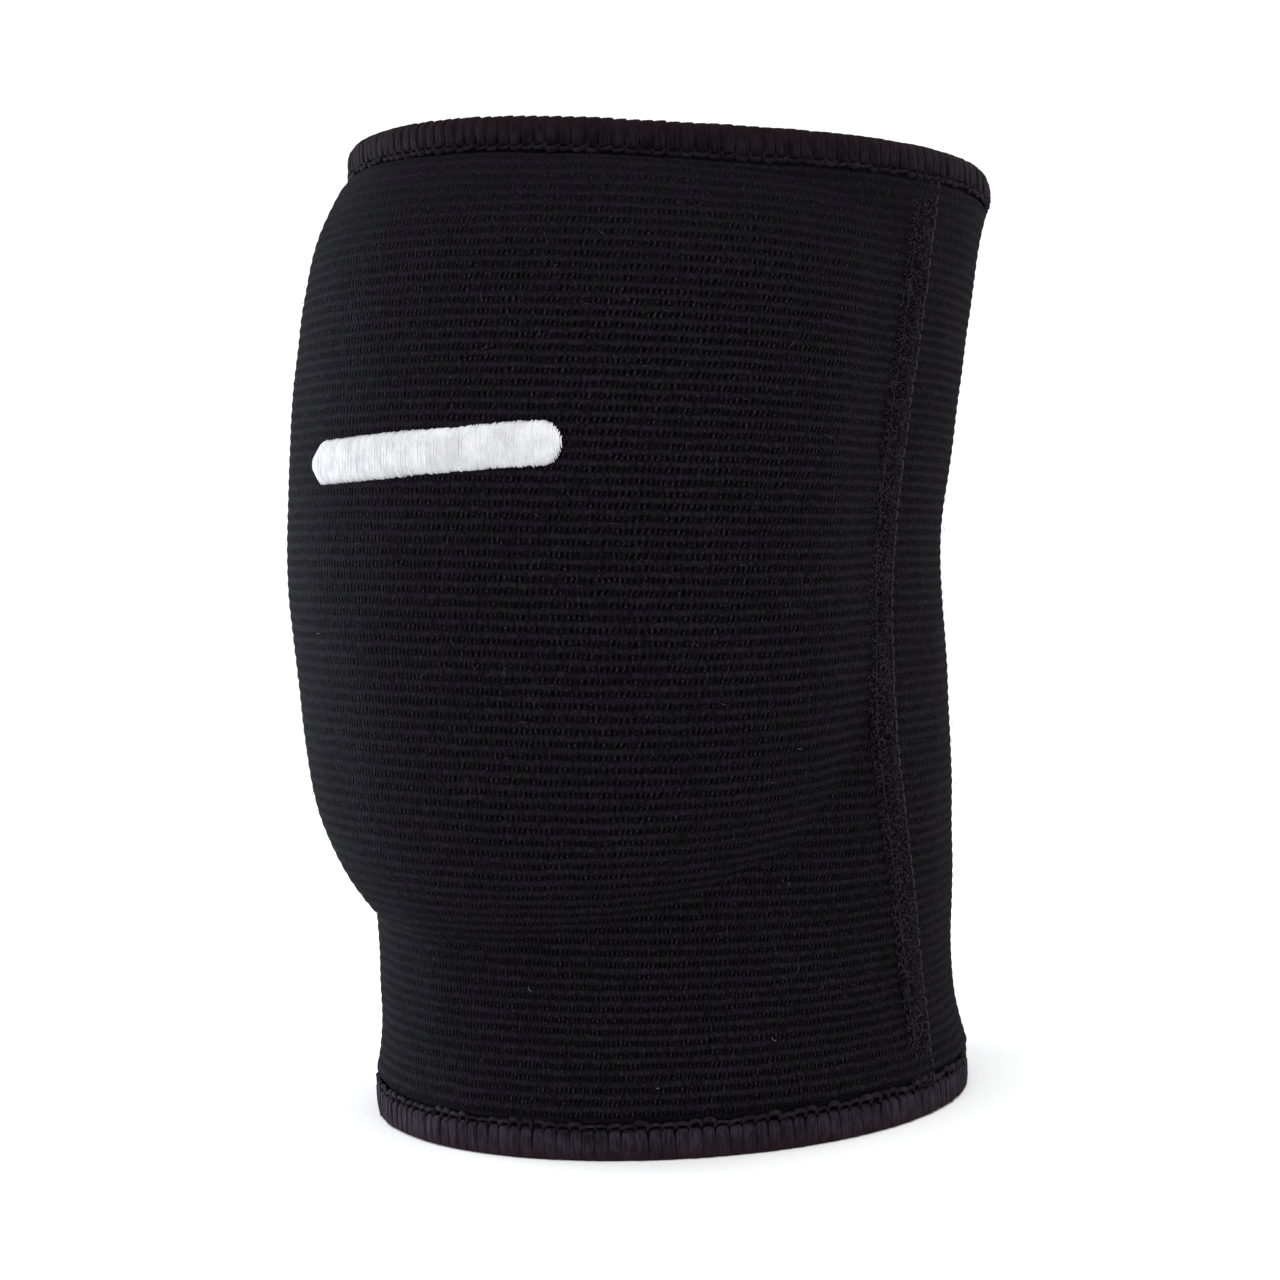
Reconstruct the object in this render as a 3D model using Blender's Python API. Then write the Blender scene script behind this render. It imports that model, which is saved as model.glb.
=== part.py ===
"""Volleyball knee pad: a hollow elastic knit sleeve with a foam cushion inside its front.

Run with: blender --background --python part.py
Metres, +Z up. The pad stands on its lower hem, the front of the knee faces -Y, and the origin is under the
middle of its bounding box. Turns are measured from the front towards +X.
"""

import math

import bpy
import numpy as np

# Sleeve
HEIGHT = 0.1777
SLEEVE_RADIUS = 0.0573
WALL = 0.0020
TOP_FLARE = 0.0049
KNEE_BOW = 0.0056
LEAN = 0.0100
LEAN_TURN = math.radians(145)

# Upper rim, which is higher at the front and sags a little beside it
RIM_RISE = 0.0116
RIM_PEAK_TURN = math.radians(-47)
RIM_SAG = 0.0020
RIM_SAG_TURN = math.radians(45)
RIM_SAG_SPREAD = math.radians(35)

# Cushion behind the front of the sleeve
PAD_THICKNESS = 0.0147
PAD_HALF_TURN = math.radians(95)
PAD_TURN = math.radians(-8)
PAD_LOWER_EDGE = 0.0376
PAD_UPPER_MARGIN = 0.0010
PAD_EDGE_THICKNESS = 0.0016

# Overlocked hems
TOP_HEM_DEPTH = 0.0044
BOTTOM_HEM_DEPTH = 0.0056
HEM_THREAD = 0.0011
HEM_BORDER_SHARE = 0.6
HEM_SHOULDER_SHARE = 0.85

# Flat side seam
SEAM_TURN = math.radians(89)
SEAM_WIDTH = 0.0062
SEAM_THICKNESS = 0.0007
SEAM_TOP_SHARE = 0.85

# Embroidered bar on the front
MARK_LENGTH = 0.0600
MARK_HEIGHT = 0.0080
MARK_THICKNESS = 0.0008
MARK_LEVEL = 0.1275
MARK_TURN = math.radians(3)
MARK_SIDE_SHARE = 0.5
MARK_TOP_SHARE = 0.6

GAP = 0.0003

# Mesh
COLUMNS = 56
PAD_ROWS = 15
LOWER_ROWS = 5
MARK_STEPS = 16
MARK_END_STEPS = 5
SLOPE_STEP = 0.0005
CREASE_TURN = math.radians(50)

# Tube without the cushion: height as a share of HEIGHT, widening as a share of TOP_FLARE, and the forward
# shift of its centre, which hollows the back of the knee, as a share of KNEE_BOW.
TUBE = {
    "height": (0.00, 0.04, 0.07, 0.11, 0.25, 0.34, 0.47, 0.62, 0.73, 0.82, 0.91, 0.98, 1.03),
    "widening": (0.22, 0.17, 0.08, 0.00, 0.10, 0.14, 0.06, 0.00, 0.20, 0.47, 0.76, 1.00, 1.06),
    "shift": (-0.15, -0.12, -0.05, 0.08, 0.32, 0.45, 0.71, 1.00, 0.73, 0.43, 0.21, 0.09, 0.07),
}

# Bulge along the cushion, from its lower edge to its upper edge, as shares of its length and PAD_THICKNESS.
# The lower edge is a steep ledge and the upper one a long slope.
PAD_ALONG = {
    "length": (0.00, 0.03, 0.06, 0.09, 0.12, 0.17, 0.23, 0.31, 0.40, 0.50, 0.62, 0.73, 0.84, 0.90, 0.95, 0.98, 1.00),
    "bulge": (0.00, 0.20, 0.39, 0.54, 0.65, 0.77, 0.85, 0.92, 0.98, 1.00, 0.99, 0.94, 0.79, 0.65, 0.43, 0.24, 0.08),
}

# Bulge across the cushion, from its middle to its side, as shares of PAD_HALF_TURN and PAD_THICKNESS.
PAD_ACROSS = {
    "turn": (0.00, 0.30, 0.50, 0.65, 0.80, 0.92, 1.00),
    "bulge": (1.00, 1.00, 0.96, 0.82, 0.48, 0.12, 0.00),
}

# Rounded corners of the cushion: how far its lower edge climbs and its upper edge drops, as shares of HEIGHT.
PAD_CORNERS = {
    "turn": (0.00, 0.35, 0.56, 0.78, 0.91, 1.00),
    "lower": (0.000, 0.019, 0.050, 0.110, 0.190, 0.240),
    "upper": (0.000, 0.000, 0.005, 0.020, 0.045, 0.070),
}

# Wander of the side seam, as shares of HEIGHT and SEAM_TURN: it gives way behind the cushion's corner.
SEAM_PATH = {
    "height": (0.00, 0.11, 0.20, 0.30, 0.40, 0.50, 0.62, 0.80, 1.00),
    "turn": (1.050, 1.048, 1.018, 0.980, 0.953, 0.955, 0.978, 0.990, 0.993),
}


def curve_through(table, along, value, x):
    """Reads a smooth curve through two columns of a table; beyond its ends the end value holds."""
    xs = np.array(table[along])
    ys = np.array(table[value])
    slopes = np.gradient(ys, xs)
    slopes[0] = slopes[-1] = 0.0
    x = np.clip(x, xs[0], xs[-1])
    i = np.clip(np.searchsorted(xs, x, side="right") - 1, 0, len(xs) - 2)
    step = xs[i + 1] - xs[i]
    t = (x - xs[i]) / step
    rise = ys[i + 1] - ys[i]
    start = slopes[i] * step
    end = slopes[i + 1] * step
    return ys[i] + t * (start + t * (3 * rise - 2 * start - end + t * (start + end - 2 * rise)))


def pad_turn_share(turn):
    """How far a turn lies from the cushion's middle, as a share of its half width."""
    away = (turn - PAD_TURN + math.pi) % (2 * math.pi) - math.pi
    return np.abs(away) / PAD_HALF_TURN


def rim_height(turn):
    """Height of the upper hem's top."""
    away = (turn - RIM_SAG_TURN + math.pi) % (2 * math.pi) - math.pi
    rise = RIM_RISE * (1 + np.cos(turn - RIM_PEAK_TURN)) / 2
    return HEIGHT + rise - RIM_SAG * np.exp(-((away / RIM_SAG_SPREAD) ** 2))


def pad_lower(turn):
    """Height of the cushion's lower edge."""
    return PAD_LOWER_EDGE + HEIGHT * curve_through(PAD_CORNERS, "turn", "lower", pad_turn_share(turn))


def pad_upper(turn):
    """Height of the cushion's upper edge, just under the upper hem."""
    drop = HEIGHT * curve_through(PAD_CORNERS, "turn", "upper", pad_turn_share(turn))
    return rim_height(turn) - TOP_HEM_DEPTH - PAD_UPPER_MARGIN - drop


def bulge(turn, height):
    """How far the cushion pushes the sleeve out."""
    lower = pad_lower(turn)
    length_share = (height - lower) / (pad_upper(turn) - lower)
    across = curve_through(PAD_ACROSS, "turn", "bulge", pad_turn_share(turn))
    return PAD_THICKNESS * across * curve_through(PAD_ALONG, "length", "bulge", length_share)


def tube_radius(height):
    return SLEEVE_RADIUS + TOP_FLARE * curve_through(TUBE, "height", "widening", height / HEIGHT)


def centre_at(height):
    """Point on the tube's centre line, which leans back and bows forward behind the knee."""
    lean = LEAN * height / HEIGHT
    bow = KNEE_BOW * curve_through(TUBE, "height", "shift", height / HEIGHT)
    return np.array([lean * math.sin(LEAN_TURN), -lean * math.cos(LEAN_TURN) - bow, height])


def at_radius(turn, height, radius):
    """Point at a turn and height, a radius away from the tube's centre line."""
    centre = centre_at(height)
    return centre + radius * np.array([math.sin(turn), -math.cos(turn), 0.0])


def outer_point(turn, height):
    """Point on the sleeve's outer face."""
    return at_radius(turn, height, tube_radius(height) + bulge(turn, height))


def outer_normal(turn, height):
    """Direction straight out of the sleeve's outer face."""
    side = SLOPE_STEP / SLEEVE_RADIUS
    across = outer_point(turn + side, height) - outer_point(turn - side, height)
    upward = outer_point(turn, height + SLOPE_STEP) - outer_point(turn, height - SLOPE_STEP)
    normal = np.cross(across, upward)
    return normal / np.linalg.norm(normal)


def offset_point(turn, height, offset):
    """Point at an offset out of the sleeve's outer face, or into it where negative."""
    return outer_point(turn, height) + offset * outer_normal(turn, height)


def hem_point(turn, height, offset):
    """The same as offset_point, but level with its height, for the straight stretch inside a hem."""
    return at_radius(turn, height, tube_radius(height) + bulge(turn, height) + offset)


def column_turns():
    return [2 * math.pi * i / COLUMNS for i in range(COLUMNS)]


def edge_inset():
    """How far the sleeve's raw edge lies inside the hem's rounded end."""
    return HEM_THREAD + GAP


def pad_row_heights(turn):
    """Heights of the mesh rows over the cushion, closer together at its two edges."""
    lower = pad_lower(turn)
    length = pad_upper(turn) - lower
    return [lower + length * (1 - math.cos(math.pi * i / PAD_ROWS)) / 2 for i in range(PAD_ROWS + 1)]


def lower_row_heights(turn):
    """Heights of the mesh rows from the lower hem's border up to the cushion, without the last."""
    rise = pad_lower(turn) - BOTTOM_HEM_DEPTH
    return [BOTTOM_HEM_DEPTH + rise * i / LOWER_ROWS for i in range(1, LOWER_ROWS)]


def sleeve_column(turn, depth):
    """Points up one column of the sleeve, at a depth inside its outer face."""
    rim = rim_height(turn)
    low_end = [hem_point(turn, height, -depth) for height in (edge_inset(), BOTTOM_HEM_DEPTH)]
    heights = lower_row_heights(turn) + pad_row_heights(turn)
    middle = [offset_point(turn, height, -depth) for height in heights]
    top_end = [hem_point(turn, height, -depth) for height in (rim - TOP_HEM_DEPTH, rim - edge_inset())]
    return low_end + middle + top_end


def new_object(name, points, faces, material, smooth=True):
    mesh = bpy.data.meshes.new(name)
    mesh.from_pydata([tuple(p) for p in points], [], faces)
    mesh.validate()
    mesh.materials.append(material)
    if smooth:
        mesh.shade_smooth()
        mesh.set_sharp_from_angle(angle=CREASE_TURN)
    made = bpy.data.objects.new(name, mesh)
    bpy.context.collection.objects.link(made)
    return made


def closed_tube(sections, ring, material, name):
    """Skins a run of equal closed sections. A ring joins its last section to its first; otherwise the ends are
    filled. The first half of a section faces out and the second half runs back along the inside. Each face is
    split along the same diagonal on both sides, so that faces which lie against each other stay even."""
    count = len(sections[0])
    runs = len(sections) if ring else len(sections) - 1
    points = [p for section in sections for p in section]
    faces = []
    for i in range(runs):
        here = i * count
        there = (i + 1) % len(sections) * count
        for k in range(count):
            m = (k + 1) % count
            if k < count // 2:
                faces.append((here + k, there + k, there + m))
                faces.append((here + k, there + m, here + m))
            else:
                faces.append((here + k, there + k, here + m))
                faces.append((there + k, there + m, here + m))
    if not ring:
        last = (len(sections) - 1) * count
        for k in range(count // 2 - 1):
            end = (k, k + 1, count - 2 - k, count - 1 - k)
            faces.append(end)
            faces.append(tuple(last + corner for corner in reversed(end)))
    return new_object(name, points, faces, material)


def principled(name, colour, roughness):
    material = bpy.data.materials.new(name)
    material.use_nodes = True
    shader = material.node_tree.nodes["Principled BSDF"]
    shader.inputs["Base Color"].default_value = (*colour, 1.0)
    shader.inputs["Roughness"].default_value = roughness
    shader.inputs["Metallic"].default_value = 0.0
    return material


def make_sleeve():
    """Knit tube with its real wall, open at both ends."""
    knit = principled("black_knit", (0.010, 0.009, 0.012), 0.9)
    sections = []
    for turn in column_turns():
        outside = sleeve_column(turn, 0.0)
        inside = sleeve_column(turn, WALL)
        sections.append(outside + inside[::-1])
    return closed_tube(sections, True, knit, "sleeve")


def make_knee_pad():
    """Cushion that fills the bulge: its outer face lies against the sleeve and its inner one carries on the
    sleeve's inside. It shares the sleeve's columns and rows, so the gap between their facets is even."""
    cover = principled("pad_cover", (0.014, 0.013, 0.016), 0.9)
    columns = [turn for turn in column_turns() if pad_turn_share(turn) < 1.0]
    columns.sort(key=lambda turn: (turn - PAD_TURN + math.pi) % (2 * math.pi))
    sections = []
    for turn in columns:
        outside = []
        inside = []
        for height in pad_row_heights(turn):
            face = offset_point(turn, height, -WALL - GAP)
            reach = np.linalg.norm(face - centre_at(face[2]))
            inner_reach = min(tube_radius(face[2]) - WALL, reach - PAD_EDGE_THICKNESS)
            outside.append(face)
            inside.append(at_radius(turn, face[2], inner_reach))
        sections.append(outside + inside[::-1])
    return closed_tube(sections, False, cover, "knee_pad")


def hem_section(turn, border, edge, upward):
    """Channel of thread round the sleeve's edge: a slot for the wall and a rounded body about it. border and
    edge are the heights of its open side and of the sleeve's raw edge, upward is 1 for the upper hem."""
    slot_out = GAP
    slot_in = -WALL - GAP
    body = HEM_THREAD
    middle = (border + edge) / 2
    end = edge + upward * GAP
    far = end + upward * body
    shoulder = edge - upward * body / 2
    return [
        hem_point(turn, border, slot_out),
        hem_point(turn, edge, slot_out) + np.array([0, 0, end - edge]),
        hem_point(turn, edge, slot_in) + np.array([0, 0, end - edge]),
        hem_point(turn, border, slot_in),
        hem_point(turn, border, slot_in - body * HEM_BORDER_SHARE),
        hem_point(turn, middle, slot_in - body),
        hem_point(turn, shoulder, slot_in - body * HEM_SHOULDER_SHARE),
        hem_point(turn, edge, slot_in) + np.array([0, 0, far - edge]),
        hem_point(turn, edge, slot_out) + np.array([0, 0, far - edge]),
        hem_point(turn, shoulder, slot_out + body * HEM_SHOULDER_SHARE),
        hem_point(turn, middle, slot_out + body),
        hem_point(turn, border, slot_out + body * HEM_BORDER_SHARE),
    ]


def make_hems():
    """Overlocked edges: the upper one follows the rim and the lower one has a flat underside."""
    thread = principled("hem_thread", (0.028, 0.022, 0.030), 0.75)
    upper = []
    lower = []
    for turn in column_turns():
        rim = rim_height(turn)
        upper.append(hem_section(turn, rim - TOP_HEM_DEPTH, rim - edge_inset(), 1)[::-1])
        lower.append(hem_section(turn, BOTTOM_HEM_DEPTH, edge_inset(), -1))
    return [
        closed_tube(upper, True, thread, "top_hem"),
        closed_tube(lower, True, thread, "bottom_hem"),
    ]


def seam_turn(height):
    return SEAM_TURN * curve_through(SEAM_PATH, "height", "turn", height / HEIGHT)


def make_side_seam():
    """Flat strip of looper thread over the sleeve's join, from hem to hem."""
    thread = principled("seam_thread", (0.016, 0.013, 0.019), 0.8)
    half_turn = SEAM_WIDTH / 2 / SLEEVE_RADIUS
    rim = rim_height(seam_turn(HEIGHT))
    heights = lower_row_heights(SEAM_TURN) + pad_row_heights(SEAM_TURN)
    heights = [BOTTOM_HEM_DEPTH + GAP] + heights + [rim - TOP_HEM_DEPTH - GAP]
    sections = []
    for height in heights:
        turn = seam_turn(height)
        below = [offset_point(turn + side * half_turn, height, GAP) for side in (-1, 1)]
        top_turn = half_turn * SEAM_TOP_SHARE
        above = [offset_point(turn + side * top_turn, height, GAP + SEAM_THICKNESS) for side in (1, -1)]
        sections.append(below + above)
    return closed_tube(sections, False, thread, "side_seam")


def mark_outline(share):
    """Half height of the embroidered bar at a share of its length from its middle, with round ends."""
    along = abs(share) * MARK_LENGTH / 2
    straight = MARK_LENGTH / 2 - MARK_HEIGHT / 2
    beyond = max(0.0, along - straight)
    return math.sqrt(max(0.0, (MARK_HEIGHT / 2) ** 2 - beyond**2))


def make_embroidered_mark():
    """Plain satin-stitched bar that lies on the sleeve."""
    thread = principled("white_thread", (0.80, 0.80, 0.82), 0.45)
    radius = tube_radius(MARK_LEVEL) + bulge(MARK_TURN, MARK_LEVEL)
    round_share = MARK_HEIGHT / MARK_LENGTH
    ends = [1 - round_share * (1 - math.sin(math.pi / 2 * i / MARK_END_STEPS)) for i in range(MARK_END_STEPS)]
    middle = [(1 - round_share) * (2 * i / MARK_STEPS - 1) for i in range(1, MARK_STEPS)]
    shares = [-s for s in reversed(ends)] + middle + ends
    sections = []
    for share in shares:
        turn = MARK_TURN + share * MARK_LENGTH / 2 / radius
        half = mark_outline(share)
        corners = [
            (1, GAP),
            (-1, GAP),
            (-1, GAP + MARK_THICKNESS * MARK_SIDE_SHARE),
            (-MARK_TOP_SHARE, GAP + MARK_THICKNESS),
            (MARK_TOP_SHARE, GAP + MARK_THICKNESS),
            (1, GAP + MARK_THICKNESS * MARK_SIDE_SHARE),
        ]
        section = [offset_point(turn, MARK_LEVEL + side * half, offset) for side, offset in corners]
        sections.append(section)
    return closed_tube(sections, False, thread, "embroidered_mark")


def stand_on_origin(pieces):
    """Parents the pieces to one empty, placed so that the origin is under the middle of the whole."""
    corners = np.array([v.co for piece in pieces for v in piece.data.vertices])
    middle = (corners.min(axis=0) + corners.max(axis=0)) / 2
    stand = bpy.data.objects.new("stand", None)
    stand.location = (-middle[0], -middle[1], -corners[:, 2].min())
    bpy.context.collection.objects.link(stand)
    for piece in pieces:
        piece.parent = stand


def main():
    for old in list(bpy.data.objects):
        bpy.data.objects.remove(old, do_unlink=True)
    pieces = [make_sleeve(), make_knee_pad(), *make_hems(), make_side_seam(), make_embroidered_mark()]
    stand_on_origin(pieces)


main()
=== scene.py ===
"""Looks of the volleyball knee pad: ribbed elastic knit, overlocked hems, a flat side seam and a satin-stitched bar.

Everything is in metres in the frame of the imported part, which stands on the floor at Z = 0 with the front of the
knee facing -Y. Turns are measured from the front towards +X.
"""

import math
from functools import partial

import bpy
import numpy as np
from mathutils import Matrix, Vector


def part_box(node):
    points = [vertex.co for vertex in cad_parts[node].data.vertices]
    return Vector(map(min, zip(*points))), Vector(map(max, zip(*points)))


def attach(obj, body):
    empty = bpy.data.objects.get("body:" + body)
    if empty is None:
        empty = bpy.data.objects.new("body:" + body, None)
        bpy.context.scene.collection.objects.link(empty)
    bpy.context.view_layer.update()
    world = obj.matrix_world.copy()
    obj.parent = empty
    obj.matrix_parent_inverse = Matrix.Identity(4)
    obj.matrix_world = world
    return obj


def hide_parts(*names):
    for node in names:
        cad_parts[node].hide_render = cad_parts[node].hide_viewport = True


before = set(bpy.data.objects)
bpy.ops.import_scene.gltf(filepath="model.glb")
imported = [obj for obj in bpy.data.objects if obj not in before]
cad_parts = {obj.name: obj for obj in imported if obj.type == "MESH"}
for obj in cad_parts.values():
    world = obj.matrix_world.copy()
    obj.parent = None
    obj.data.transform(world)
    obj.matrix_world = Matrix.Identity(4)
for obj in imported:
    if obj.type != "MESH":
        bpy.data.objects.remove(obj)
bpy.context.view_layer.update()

# Sleeve
HEIGHT = 0.1777
SLEEVE_RADIUS = 0.0573
WALL = 0.0020
TOP_FLARE = 0.0049
KNEE_BOW = 0.0056
LEAN = 0.0100
LEAN_TURN = math.radians(145)

# Upper rim, which is higher at the front and sags a little beside it
RIM_RISE = 0.0116
RIM_PEAK_TURN = math.radians(-47)
RIM_SAG = 0.0020
RIM_SAG_TURN = math.radians(45)
RIM_SAG_SPREAD = math.radians(35)

# Cushion behind the front of the sleeve
PAD_THICKNESS = 0.0147
PAD_HALF_TURN = math.radians(95)
PAD_TURN = math.radians(-8)
PAD_LOWER_EDGE = 0.0376
PAD_UPPER_MARGIN = 0.0010
PAD_EDGE_THICKNESS = 0.0016

# Overlocked hems
TOP_HEM_DEPTH = 0.0044
BOTTOM_HEM_DEPTH = 0.0056
HEM_THREAD = 0.0011
WRAP_PITCH = 0.00245
WRAP_WIDTH = 0.00275
WRAP_THICKNESS = 0.00065
WRAP_POINTS = 9
WRAP_GROOVE = 0.020
WRAP_CREASE = 0.75
WRAP_PINCH = 0.22
WRAP_END_WIDTH = 0.80
WRAP_EDGE_CREASE = 0.25
WRAP_UNDERSIDE = 0.9
WRAP_ANGLES = (25.0, 57.0, 90.0, 123.0, 155.0)
LOOP_RADIUS = 0.00046
LOOP_RISE = 0.00042
LOOP_OUT = 0.0006
TOP_LOOP_AWAY = 0.0001
BOTTOM_LOOP_AWAY = 0.0007
HEM_TURN_SAMPLES = 1441

# One block of wrapped thread outside and inside the edge: how far out as a share of GAP, how far down as a share of
# the hem, how much crown it has, and how worn it is
WRAP_OUTSIDE = ((0.0, 1.00, 0.35, 0.0), (1.0, 0.84, 0.95, 0.0), (1.0, 0.50, 1.00, 0.0), (1.0, 0.12, 1.00, 0.35))
WRAP_INSIDE = ((1.0, 0.15, 1.00, 0.4), (1.0, 0.60, 0.95, 0.1), (0.2, 0.95, 0.40, 0.0))

# Knot between two links of the chain, as shares of half the pitch, LOOP_OUT and LOOP_RISE
LOOP_KNOT = ((0.75, 0.25, 2.2), (0.80, 0.90, 1.2), (0.95, 0.95, 0.3), (1.05, 0.20, -0.5))

# Flat side seam
SEAM_TURN = math.radians(89)
SEAM_WIDTH = 0.0062
SEAM_THICKNESS = 0.0007
SEAM_STITCH = 0.0023
SEAM_THREAD_RADIUS = 0.00017
SEAM_PROFILE = ((-1.0, -0.30), (-0.86, 0.15), (-0.45, 0.42), (0.0, 0.38), (0.45, 0.34), (0.8, 0.10), (1.0, -0.35))
LOOPER_SIZE = 0.00048
LOOPER_SPACING = 0.00100
LOOPER_LANES = 7
LOOPER_LANE_RANGE = (-0.66, 1.14)
LOOPER_LANE_SCATTER = 0.12
LOOPER_LEVEL_SCATTER = 0.4
LOOPER_TURN = 0.9
LOOPER_SIZES = (0.75, 1.25)
LOOPER_LIFT = ((0.4, 1.1), (0.45, 0.10))
SEAM_SWELL = 0.15
SEAM_SWELL_STEPS = 4
NEEDLE_ROWS = ((-0.90, 1.0), (0.72, 0.7))

# Embroidered bar on the front
MARK_LENGTH = 0.0600
MARK_HEIGHT = 0.0080
MARK_THICKNESS = 0.0008
MARK_LEVEL = 0.1275
MARK_TURN = math.radians(3)
SATIN_THREAD_RADIUS = 0.00020
SATIN_PITCH = 0.00030
SATIN_LENGTHS = (0.97, 1.045)
SATIN_RISES = (0.92, 1.06)
SATIN_END_RISE = 0.45
SATIN_ROUNDING = 3.5

# Clearance between neighbouring pieces, and how far inside a hem's own edge the knit ends
GAP = 0.0003
HEM_INSET = HEM_THREAD + GAP

# Swell of the knit beside each hem, which makes the two flush, and how far it reaches
TOP_FLUSH = 0.0014
BOTTOM_FLUSH = 0.0020
FLUSH_START = 0.0007
FLUSH_RAMP = 0.0012
TOP_FLUSH_REACH = 0.014
BOTTOM_FLUSH_REACH = 0.020

# Cushion's lining, which a cloth simulation swells
LINING_COLUMNS = 45
LINING_ROWS = 36
LINING_CAP = 0.0030
LINING_PRESSURE = 4.0
LINING_FRAMES = 20
CUSHION_SHARE = 0.985

# Stray fibres on the knit, and the places of a few white specks of lint, as turns in degrees and heights
FIBRES = 1100
FIBRE_LENGTH = 0.0011
FIBRE_RADIUS = 0.000035
FIBRE_HEIGHTS = (0.008, 0.168)
FIBRE_SIZES = (0.4, 1.3)
FIBRE_CURL = ((0.30, 3.6), (0.35, 4.2))
LINT_SIZE = 0.9
LINT = ((-20.2, 0.0964), (14.2, 0.0307), (72.9, 0.0123), (58.6, 0.0199), (61.5, 0.0724), (37.1, 0.0130))

# Knit. Its slow unevenness is given as amplitudes, seeds and cells round and up the sleeve: that of the ribs' places
# in ribs, that of their relief as a share, and that of the whole face in metres.
RIBS = 88
ROWS_PER_RIB = 4
KNIT_COLUMNS = 248
KNIT_ROWS = RIBS * ROWS_PER_RIB + 1
INSIDE_ROWS = 40
WALES = 222
RIB_RELIEF = 0.00016
RIB_BREADTH = 0.7
RIB_MIDDLE = 0.6
RIB_ENDS = 30
RIB_WANDER = ((0.12, 11, 34, 16), (0.05, 12, 90, 30))
RELIEF_DRIFT = ((0.15, 13, 60, 30),)
KNIT_SWELL = ((0.0005, 14, 13, 7), (0.00018, 15, 40, 24))
TOP_RELIEF = 0.2
TOP_RELIEF_REACH = 0.008

# Looks of the knit. The bands are shares of one rib's height, where its slits and its crown begin and end, and the
# fades are shares of the sleeve's height, where its upper end grows plain. Its crowns are painted lighter as light
# from above, its valleys and slits darker as painted shade, and its dashes as painted highlights.
SLIT_BAND = (0.02, 0.10, 0.42, 0.56)
SLIT_FADE = (0.84, 0.98, 1.0, 0.2)
SLIT_LEAN = -0.5
SLIT_DRIFT = 1.6
PAINTED_LIGHT_CROWN_BAND = (0.40, 0.66, 0.86, 1.0)
RIB_DRIFT = 0.35
PLAIN_FADE = (0.76, 0.97, 0.0, 0.55)
# Crowns painted lighter as light from above, valleys painted darker as shade
KNIT_CROWN_PAINTED_LIGHT = (0.0101, 0.0097, 0.0112)
KNIT_VALLEY_PAINTED_SHADE = (0.0036, 0.0034, 0.0042)
# Near black painted into the slits as the shade in them
KNIT_SLIT_PAINTED_SHADE = (0.0001, 0.0001, 0.0002)
# Painted highlight on the dashes of yarn beside the slits and on the glints
KNIT_PAINTED_HIGHLIGHT = (0.0265, 0.0250, 0.0300)
KNIT_PLAIN = (0.0058, 0.0057, 0.0066)
KNIT_GREENISH = (0.97, 1.02, 0.94)
KNIT_VIOLET = (1.05, 0.90, 1.19)

# Threads: two tones of the yarn, the colour of its worn parts where it isn't the light one, and how its fibres stretch
# along it
THREADS = {
    "wrap_thread": dict(
        light=(0.0125, 0.0098, 0.0140), dark=(0.0034, 0.0026, 0.0040), worn=(0.0105, 0.0050, 0.0062),
        roughness=0.8, sheen=0.008, depth=0.0007, stretch=(1.0, 1.0, 0.12), drift=0.07,
    ),
    # The lower hem's wraps: the same yarn as the upper ones, painted lighter as the light bounced up from the floor
    "floor_lit_wrap_thread": dict(
        light=(0.0300, 0.0244, 0.0344), dark=(0.0088, 0.0070, 0.0104), worn=(0.0240, 0.0110, 0.0144),
        roughness=0.8, sheen=0.008, depth=0.0007, stretch=(1.0, 1.0, 0.12), drift=0.07,
    ),
    "loop_thread": dict(
        light=(0.0135, 0.0112, 0.0155), dark=(0.0035, 0.0029, 0.0042), worn=(0.0080, 0.0066, 0.0095),
        roughness=0.8, sheen=0.008, depth=0.0004, specular=0.04,
    ),
    # The lower hem's loops: the same yarn as the upper ones, painted lighter as the light from the floor
    "floor_lit_loop_thread": dict(
        light=(0.0215, 0.0185, 0.0250), dark=(0.0055, 0.0047, 0.0068), worn=(0.0110, 0.0092, 0.0130),
        roughness=0.8, sheen=0.010, depth=0.0004, specular=0.04,
    ),
    "seam_thread": dict(
        light=(0.0048, 0.0041, 0.0058), dark=(0.0016, 0.0013, 0.0021),
        roughness=0.85, sheen=0.03, depth=0.0003, stretch=(1.0, 1.0, 0.4),
    ),
    "seam_looper": dict(
        light=(0.0210, 0.0166, 0.0258), dark=(0.0046, 0.0036, 0.0061),
        roughness=0.75, sheen=0.03, depth=0.0002, specular=0.06, stretch=(1.0, 1.0, 0.6),
    ),
    "needle_thread": dict(
        light=(0.0230, 0.0200, 0.0275), dark=(0.0090, 0.0078, 0.0112),
        roughness=0.6, sheen=0.03, depth=0.0002, specular=0.1, stretch=(1.0, 1.0, 0.6),
    ),
    "stray_fibre": dict(light=(0.060, 0.055, 0.068), dark=(0.022, 0.020, 0.026), roughness=0.7, depth=0.0001),
    "white_lint": dict(light=(0.34, 0.34, 0.35), dark=(0.18, 0.18, 0.19), roughness=0.8, depth=0.0001),
    "satin_thread": dict(
        light=(0.73, 0.73, 0.745), dark=(0.53, 0.53, 0.555),
        roughness=0.45, sheen=0.02, depth=0.00008, specular=0.25, stretch=(3.0, 3.0, 0.2),
    ),
}

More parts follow.
